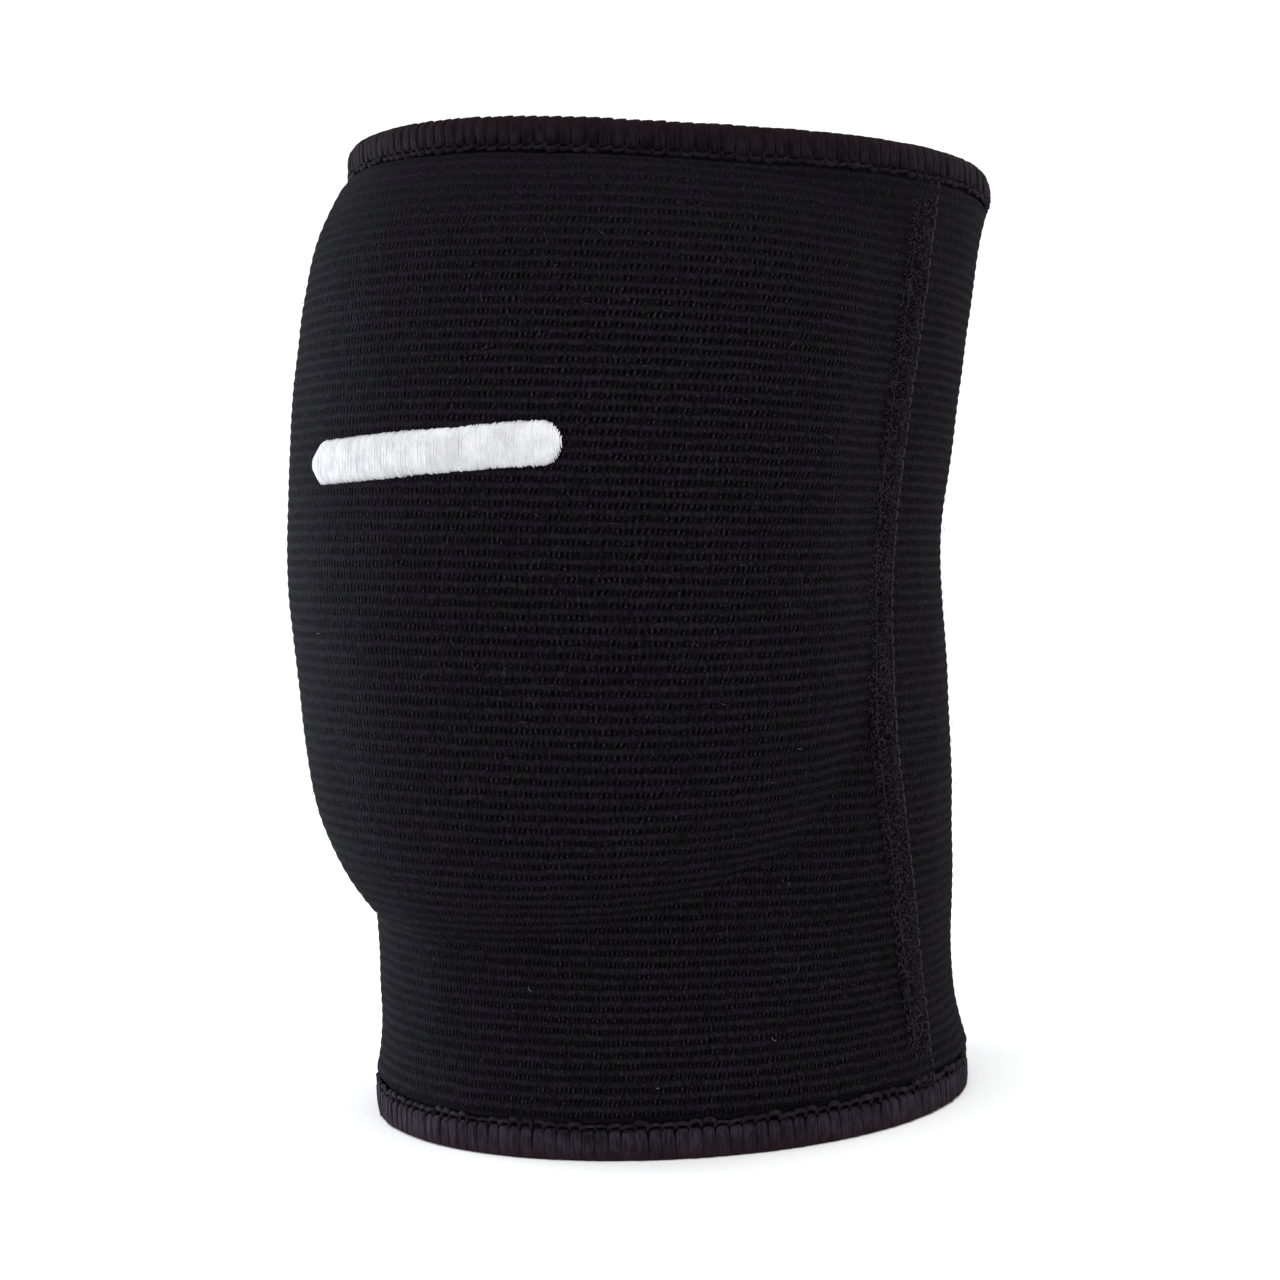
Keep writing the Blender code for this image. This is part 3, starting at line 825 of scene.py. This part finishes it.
def make_sleeve():
    """The knit tube: real relief of its ribs outside, a smooth inside, closed at both raw edges."""
    turns = -math.pi + 2 * math.pi * np.arange(KNIT_COLUMNS) / KNIT_COLUMNS
    shares = np.arange(KNIT_ROWS) / (KNIT_ROWS - 1)
    low = np.full(KNIT_COLUMNS, HEM_INSET)
    heights = heights_by_length(turns, paced(shares), low, rim_height(turns) - HEM_INSET)
    turned = turns[:, None] + np.zeros_like(heights)
    lift = knit_lift(turned, heights, shares)[..., None]
    outside = outer_point(turned, heights) + outer_frame(turned, heights)[2] * lift
    picks = np.linspace(0, KNIT_ROWS - 1, INSIDE_ROWS).round().astype(int)
    inner = turned[:, picks], heights[:, picks]
    inside = outer_point(*inner) - WALL * outer_frame(*inner)[2]
    start = KNIT_COLUMNS * KNIT_ROWS
    faces, corners = ring_faces(KNIT_COLUMNS, KNIT_ROWS)
    inner_faces, inner_corners = ring_faces(KNIT_COLUMNS, INSIDE_ROWS, start, flip=True)
    edge_faces, edge_uv = raw_edge_faces(start)
    uv = np.concatenate([
        np.stack([corners[:, 0] / KNIT_COLUMNS, shares[corners[:, 1]]], -1),
        np.stack([inner_corners[:, 0] / KNIT_COLUMNS, shares[picks[inner_corners[:, 1]]]], -1),
        edge_uv,
    ])
    points = np.concatenate([outside.reshape(-1, 3), inside.reshape(-1, 3)])
    made = mesh_object("knit_sleeve", points, faces + inner_faces + edge_faces, uv)
    made.data.materials.append(knit_material())
    belong([made], "sleeve")
    return made


def swelled(points, faces, sewn):
    """The same points after a cloth simulation has swelled the faces that aren't sewn down, up to a cap."""
    trial = mesh_object("swelling_cushion", points, faces)
    group = trial.vertex_groups.new(name="sewn")
    group.add(np.flatnonzero(sewn).tolist(), 1.0, "REPLACE")
    cloth = trial.modifiers.new("swell", "CLOTH")
    cloth.settings.vertex_group_mass = group.name
    cloth.settings.use_pressure = True
    cloth.settings.uniform_pressure_force = LINING_PRESSURE
    cloth.settings.effector_weights.gravity = 0.0
    cloth.point_cache.frame_start = 1
    cloth.point_cache.frame_end = LINING_FRAMES
    scene = bpy.context.scene
    first = scene.frame_current
    for step in range(1, LINING_FRAMES + 1):
        scene.frame_set(step)
    result = np.empty(len(points) * 3, np.float32)
    evaluated = trial.evaluated_get(bpy.context.evaluated_depsgraph_get())
    evaluated.data.vertices.foreach_get("co", result)
    moved = result.reshape(-1, 3) - points
    length = np.maximum(np.linalg.norm(moved, axis=1, keepdims=True), 1e-9)
    moved *= LINING_CAP * np.tanh(length / LINING_CAP) / length
    scene.frame_set(first)
    bpy.data.objects.remove(trial)
    return points + np.where(sewn[:, None], 0.0, moved)


def make_knee_pad():
    """Soft cushion inside the front of the sleeve: its face lies against the knit and its lining is swelled."""
    columns = LINING_COLUMNS
    rows = LINING_ROWS
    turns = PAD_TURN + PAD_HALF_TURN * CUSHION_SHARE * np.linspace(-1, 1, columns)
    shares = (1 - np.cos(np.linspace(0, math.pi, rows))) / 2
    low = pad_lower(turns)
    high = pad_upper(turns)
    heights = low[:, None] + (high - low)[:, None] * shares
    turned = turns[:, None] + np.zeros_like(heights)
    face = outer_point(turned, heights) - (WALL + GAP) * outer_frame(turned, heights)[2]
    centre = AXIS + centre_at(face[..., 2])
    reach = np.linalg.norm(face - centre, axis=-1)
    inner_reach = np.minimum(tube_radius(face[..., 2]) - WALL, reach - PAD_EDGE_THICKNESS)
    back = at_radius(turned, face[..., 2], inner_reach)
    points = np.concatenate([face.reshape(-1, 3), back.reshape(-1, 3)])
    start = columns * rows
    faces = []
    for i in range(columns - 1):
        for j in range(rows - 1):
            a = i * rows + j
            faces.append((a, a + rows, a + rows + 1, a + 1))
            b = start + a
            faces.append((b, b + 1, b + rows + 1, b + rows))
    rim = [i * rows for i in range(columns)]
    rim += [(columns - 1) * rows + j for j in range(1, rows)]
    rim += [i * rows + rows - 1 for i in range(columns - 2, -1, -1)]
    rim += [j for j in range(rows - 2, 0, -1)]
    for k in range(len(rim)):
        a = rim[k]
        b = rim[(k + 1) % len(rim)]
        faces.append((a, start + a, start + b, b))
    sewn = np.zeros(len(points), bool)
    sewn[:start] = True
    sewn[start + np.array(rim)] = True
    points = swelled(points, faces, sewn)
    made = mesh_object("foam_cushion", points, faces)
    smooth = made.modifiers.new("smooth", "SUBSURF")
    smooth.levels = smooth.render_levels = 1
    made.data.materials.append(cover_material())
    belong([made], "knee_pad")


def stray_fibre():
    """One short curled fibre that stands off the knit."""
    (rise, rise_rate), (swing, swing_rate) = FIBRE_CURL
    path = [
        (
            FIBRE_LENGTH * (share - 0.5),
            FIBRE_LENGTH * rise * math.sin(rise_rate * share) - FIBRE_RADIUS,
            FIBRE_LENGTH * swing * math.cos(swing_rate * share),
        )
        for share in np.linspace(0, 1, 6)
    ]
    return thread_mesh([(path, FIBRE_RADIUS, 0.0)], 3, 0.4)


def make_fibres():
    """Stray fibres of the yarn all over the knit, and a few white specks of lint."""
    chance = np.random.default_rng(FIBRE_CHANCE)
    turns = chance.uniform(-math.pi, math.pi, FIBRES)
    heights = chance.uniform(*FIBRE_HEIGHTS, FIBRES)
    across, upward, normal = outer_frame(turns, heights)
    spin = chance.uniform(0, 2 * math.pi, (FIBRES, 1))
    along = across * np.cos(spin) + upward * np.sin(spin)
    fibres = repeat(
        "stray_fibres", outer_point(turns, heights) + normal * RIB_RELIEF * RIB_MIDDLE,
        (along, normal, np.cross(along, normal)), np.ones((FIBRES, 3)) * chance.uniform(*FIBRE_SIZES, (FIBRES, 1)),
        stray_fibre(),
    )
    turns, heights = np.transpose(LINT)
    turns = np.radians(turns)
    upward, normal = outer_frame(turns, heights)[1:]
    lint = repeat(
        "lint", outer_point(turns, heights) + normal * RIB_RELIEF, (upward, normal, np.cross(upward, normal)),
        np.full((len(LINT), 3), LINT_SIZE), stray_fibre(),
    )
    belong([fibres, lint], "sleeve")


def even_turns(height_of, reach, pitch):
    """Turns that lie a whole number of equal pitches apart round the sleeve."""
    dense = np.linspace(-math.pi, math.pi, HEM_TURN_SAMPLES)
    heights = height_of(dense)
    radius = tube_radius(heights) + bulge(dense, heights) + reach
    points = at_radius(dense, heights, radius)
    run = np.concatenate([[0], np.cumsum(np.linalg.norm(np.diff(points, axis=0), axis=1))])
    count = round(run[-1] / pitch)
    return np.interp(np.arange(count) / count * run[-1], run, dense)


def hem_axes(turns, upward):
    """A stitch's own directions on a hem: round it, out of it and towards its free edge."""
    out = np.stack([np.sin(turns), -np.cos(turns), np.zeros_like(turns)], -1)
    up = np.zeros_like(out)
    up[:, 2] = upward
    return np.cross(out, up), out, up


def wrap_stitch(depth):
    """One block of thread wrapped over the edge: a crowned ribbon with the fine grooves of its yarns. Its own y is
    out of the sleeve and z is towards the free edge, with the raw edge at z = 0 and the outer face at y = 0."""
    bend = WALL / 2 + GAP
    spine = [(out * GAP, -down * depth, 0.0, crown, wear) for out, down, crown, wear in WRAP_OUTSIDE]
    for angle in WRAP_ANGLES:
        a = math.radians(angle)
        spine.append((-WALL / 2 + bend * math.cos(a), bend * math.sin(a), angle, 1.0, 0.6 + 0.4 * math.sin(a)))
    spine += [(-WALL - out * GAP, -down * depth, 180.0, crown, wear) for out, down, crown, wear in WRAP_INSIDE]
    points = []
    worn = []
    for y, z, angle, share, wear in spine:
        a = math.radians(angle)
        narrow = WRAP_END_WIDTH + (1 - WRAP_END_WIDTH) * share
        if angle == 0:
            narrow -= WRAP_PINCH * (-z / depth) ** 1.5
        over = math.sin(a)
        crease = WRAP_CREASE * (1 - (1 - WRAP_EDGE_CREASE) * over)
        for k in range(WRAP_POINTS):
            side = 2 * k / (WRAP_POINTS - 1) - 1
            crown = share * (1 - crease * abs(side) ** 5) + WRAP_GROOVE * (1 if k % 2 else -1)
            points.append((
                side * narrow * WRAP_WIDTH / 2,
                y + WRAP_THICKNESS * crown * math.cos(a),
                z + HEM_THREAD * crown * over,
            ))
        for side in (WRAP_UNDERSIDE, -WRAP_UNDERSIDE):
            points.append((side * narrow * WRAP_WIDTH / 2, y, z))
        worn += [wear] * (WRAP_POINTS + 2)
    return points, tube_faces(len(spine), WRAP_POINTS + 2), None, worn


def loop_stitch(away):
    """One link of the chain along the hem's inner border, under one block, and how far away from it it lies."""
    half = WRAP_PITCH / 2
    link = []
    for share in np.linspace(0, 1, 9):
        swell = math.sin(math.pi * share)
        link.append((
            -half * math.cos(math.pi * share) * 0.86,
            LOOP_OUT * (0.05 + 0.95 * swell ** 0.5),
            LOOP_RISE * (0.8 - 1.8 * swell ** 0.6) - away,
        ))
    knot = [(half * along, LOOP_OUT * out, LOOP_RISE * up - away) for along, out, up in LOOP_KNOT]
    return thread_mesh([(link, LOOP_RADIUS, 0.0), (knot, LOOP_RADIUS * 0.7, 0.6)], 6, 0.5)


def keep_above_floor(piece):
    """Presses the points that lie under the floor up to it."""
    count = len(piece.data.vertices)
    places = np.empty(count * 3, np.float32)
    piece.data.vertices.foreach_get("co", places)
    places[2::3] = np.maximum(places[2::3], 0.0)
    piece.data.vertices.foreach_set("co", places)
    piece.data.update()


def make_hem(node, upward, depth, loop_away):
    """Overlocked edge: blocks of wrapped thread with a row of needle loops along their border."""

    def edge_height(turn):
        return rim_height(turn) - HEM_INSET if upward > 0 else np.full_like(turn, HEM_INSET)

    turns = even_turns(edge_height, HEM_INSET, WRAP_PITCH)
    heights = edge_height(turns)
    places = outer_point(turns, heights)
    border = outer_point(turns, heights - upward * (depth - HEM_INSET))
    axes = hem_axes(turns, upward)
    sizes = np.ones_like(places)
    wraps = repeat(node + "_wraps", places, axes, sizes, wrap_stitch(depth - HEM_INSET))
    loops = repeat(node + "_loops", border, axes, sizes, loop_stitch(loop_away))
    for piece in (wraps, loops):
        keep_above_floor(piece)
    belong([wraps, loops], node)


def seam_turn(height):
    return SEAM_TURN * curve_through(SEAM_PATH, "height", "turn", height / HEIGHT)


def seam_heights(step):
    low = BOTTOM_HEM_DEPTH + GAP
    high = rim_height(seam_turn(HEIGHT)) - TOP_HEM_DEPTH - GAP
    count = round((high - low) / step)
    return np.linspace(low, high, count + 1)


def seam_axes(height):
    """Directions on the seam: across it, out of it and up along it."""
    normal = outer_frame(seam_turn(height), height)[2]
    above, below = height + SEAM_STEP, height - SEAM_STEP
    along = unit(outer_point(seam_turn(above), above) - outer_point(seam_turn(below), below))
    return np.cross(normal, along), normal, along


def seam_spots(height, offset, lift=0.0):
    """Points on the seam, an offset across it and a lift off the sleeve."""
    side, out, up = seam_axes(height)
    line = outer_point(seam_turn(height), height)
    return line + side * np.asarray(offset)[..., None] + out * np.asarray(lift)[..., None]


def between_steps(step):
    """Heights in the middle of even steps along the seam."""
    heights = seam_heights(step)
    return (heights[:-1] + heights[1:]) / 2


def needle_stitch():
    """One straight stitch of needle thread, drawn into the knit at both ends."""
    path = [
        (0.0, lift * SEAM_THICKNESS, along * SEAM_STITCH / 2)
        for lift, along in ((-0.2, -1.0), (1.0, -0.7), (1.15, 0.0), (1.0, 0.6), (-0.2, 0.86))
    ]
    return thread_mesh([(path, SEAM_THREAD_RADIUS * 1.15, 1.0)], 6, 0.5)


def looper_stitch():
    """One small loop of looper thread."""
    path = []
    for share in np.linspace(0, 1, 7):
        angle = math.pi * (1.45 * share - 0.22)
        path.append((
            LOOPER_SIZE * math.cos(angle),
            LOOPER_SIZE * (0.15 + 0.75 * math.sin(math.pi * share)),
            LOOPER_SIZE * 1.15 * math.sin(angle),
        ))
    return thread_mesh([(path, SEAM_THREAD_RADIUS * 0.72, 0.0)], 5, 0.5)


def make_seam():
    """Side seam: the flattened join, its looper threads and two rows of needle thread."""
    heights = seam_heights(SEAM_STITCH / 4)
    swell = 1 + SEAM_SWELL * np.sin(2 * math.pi * np.arange(len(heights)) / SEAM_SWELL_STEPS)
    sides, lifts = np.transpose(SEAM_PROFILE)
    side, out = seam_axes(heights)[:2]
    points = outer_point(seam_turn(heights), heights)[:, None] + side[:, None] * sides[:, None] * SEAM_WIDTH / 2
    points += out[:, None] * (lifts * SEAM_THICKNESS * swell[:, None])[..., None]
    band = mesh_object("seam_band", points.reshape(-1, 3), tube_faces(len(heights), len(sides)))
    band.data.materials.append(MATERIALS["seam_thread"])

    chance = np.random.default_rng(SEAM_CHANCE)
    rows = between_steps(LOOPER_SPACING)
    shape = (len(rows), LOOPER_LANES)
    scatter = chance.uniform(-LOOPER_LEVEL_SCATTER, LOOPER_LEVEL_SCATTER, shape)
    levels = (rows[:, None] + scatter * LOOPER_SPACING).ravel()
    scatter = chance.uniform(-LOOPER_LANE_SCATTER, LOOPER_LANE_SCATTER, shape)
    lanes = (np.linspace(*LOOPER_LANE_RANGE, LOOPER_LANES) + scatter).ravel()
    spots = seam_spots(levels, lanes * SEAM_WIDTH / 2, SEAM_THICKNESS * np.interp(lanes, *LOOPER_LIFT))
    count = len(levels)
    turns = chance.uniform(-LOOPER_TURN, LOOPER_TURN, count) + math.pi * chance.integers(0, 2, count)
    side, out, up = seam_axes(levels)
    side = side * np.cos(turns)[:, None] + up * np.sin(turns)[:, None]
    loops = repeat(
        "seam_loops", spots, (side, out, np.cross(side, out)), chance.uniform(*LOOPER_SIZES, (count, 3)),
        looper_stitch(),
    )

    places = between_steps(SEAM_STITCH)
    needles = [
        repeat(
            f"seam_needle_{number + 1}", seam_spots(places, lane * SEAM_WIDTH / 2), seam_axes(places),
            np.full((len(places), 3), (size, size, 1.0)), needle_stitch(),
        )
        for number, (lane, size) in enumerate(NEEDLE_ROWS)
    ]
    belong([band, loops, *needles], "side_seam")


def make_mark():
    """Plain bar of satin stitches laid side by side over a padded core."""
    radius = tube_radius(MARK_LEVEL) + bulge(MARK_TURN, MARK_LEVEL)
    count = round(MARK_LENGTH / SATIN_PITCH)
    along = (np.arange(count) + 0.5) / count * 2 - 1
    beyond = np.maximum(0, np.abs(along) * MARK_LENGTH / 2 - (MARK_LENGTH - MARK_HEIGHT) / 2)
    half = np.sqrt(np.maximum((MARK_HEIGHT / 2) ** 2 - beyond**2, (MARK_HEIGHT / 12) ** 2))
    turns = MARK_TURN + along * MARK_LENGTH / 2 / radius
    levels = np.full(count, MARK_LEVEL)
    across, upward, normal = outer_frame(turns, levels)
    rise = GAP + MARK_THICKNESS
    path = [
        (0.05 * SATIN_PITCH * math.sin(4 * share), rise * (1 - abs(share) ** SATIN_ROUNDING), share * MARK_HEIGHT / 2)
        for share in np.linspace(-1, 1, 13)
    ]
    chance = np.random.default_rng(SATIN_CHANCE)
    sizes = np.ones((count, 3))
    sizes[:, 2] = half / (MARK_HEIGHT / 2) * chance.uniform(*SATIN_LENGTHS, count)
    rises = SATIN_END_RISE + (1 - SATIN_END_RISE) * np.sqrt(sizes[:, 2].clip(0, 1))
    sizes[:, 1] = rises * chance.uniform(*SATIN_RISES, count)
    made = repeat(
        "satin_bar", outer_point(turns, levels), (-across, normal, upward), sizes,
        thread_mesh([(path, SATIN_THREAD_RADIUS, 0.0)], 6, 0.6),
    )
    belong([made], "embroidered_mark")


def area_light(name, turn_degrees, distance, height, size, power, colour):
    """A soft light beside the pad, at a turn from the camera's own direction."""
    data = bpy.data.lights.new(name, "AREA")
    data.shape = "RECTANGLE"
    data.size, data.size_y = size
    data.energy = power
    data.color = colour
    made = bpy.data.objects.new(name, data)
    turn = EYE_TURN + math.radians(turn_degrees)
    place = Vector((distance * math.sin(turn), -distance * math.cos(turn), height))
    made.location = place
    made.rotation_euler = (Vector(LIGHTS_AIM) - place).to_track_quat("-Z", "Y").to_euler()
    bpy.context.scene.collection.objects.link(made)


def make_stage():
    """White paper floor, pale surroundings and soft studio lights."""
    corners = [(x * FLOOR_REACH, y * FLOOR_REACH, 0) for x, y in ((-1, -1), (1, -1), (1, 1), (-1, 1))]
    floor = mesh_object("floor", corners, [(0, 1, 2, 3)])
    floor.data.materials.append(floor_material())
    world = bpy.data.worlds.new("studio")
    world.use_nodes = True
    background = world.node_tree.nodes["Background"]
    background.inputs["Color"].default_value = (1.0, 1.0, 1.0, 1.0)
    background.inputs["Strength"].default_value = SURROUNDINGS
    bpy.context.scene.world = world
    for name, light in LIGHTS.items():
        area_light(name, *light)


def make_camera():
    """Looks level at the pad and is then turned, so that the pad's middle falls on its own pixel."""
    data = bpy.data.cameras.new("camera")
    data.sensor_width = SENSOR
    data.lens = SENSOR * EYE_PIXELS_PER_RADIAN / PHOTO_PIXELS
    made = bpy.data.objects.new("camera", data)
    back = Vector((math.sin(EYE_TURN), -math.cos(EYE_TURN), 0.0))
    right = Vector((math.cos(EYE_TURN), math.sin(EYE_TURN), 0.0))
    up = Vector((0.0, 0.0, 1.0))
    offset_right = (MIDDLE_PIXEL[0] - PHOTO_PIXELS / 2) / EYE_PIXELS_PER_RADIAN
    offset_up = (PHOTO_PIXELS / 2 - MIDDLE_PIXEL[1]) / EYE_PIXELS_PER_RADIAN
    rolled_up = up * math.cos(EYE_ROLL) + right * math.sin(EYE_ROLL)
    rolled_right = right * math.cos(EYE_ROLL) - up * math.sin(EYE_ROLL)
    view_back = (back + rolled_right * offset_right + rolled_up * offset_up).normalized()
    view_right = rolled_up.cross(view_back).normalized()
    view_up = view_back.cross(view_right)
    turned = Matrix((view_right, view_up, view_back)).transposed().to_4x4()
    place = Vector(AXIS) + up * EYE_HEIGHT + back * EYE_DISTANCE
    made.matrix_world = Matrix.Translation(place) @ turned
    bpy.context.scene.collection.objects.link(made)
    bpy.context.scene.camera = made


MATERIALS = {name: thread_material(name, **look) for name, look in THREADS.items()}

bpy.context.scene.view_settings.view_transform = "Standard"
make_stage()
make_camera()
knit = make_sleeve()
make_knee_pad()
make_hem("top_hem", 1, TOP_HEM_DEPTH, TOP_LOOP_AWAY)
make_hem("bottom_hem", -1, BOTTOM_HEM_DEPTH, BOTTOM_LOOP_AWAY)
make_seam()
make_mark()
make_fibres()
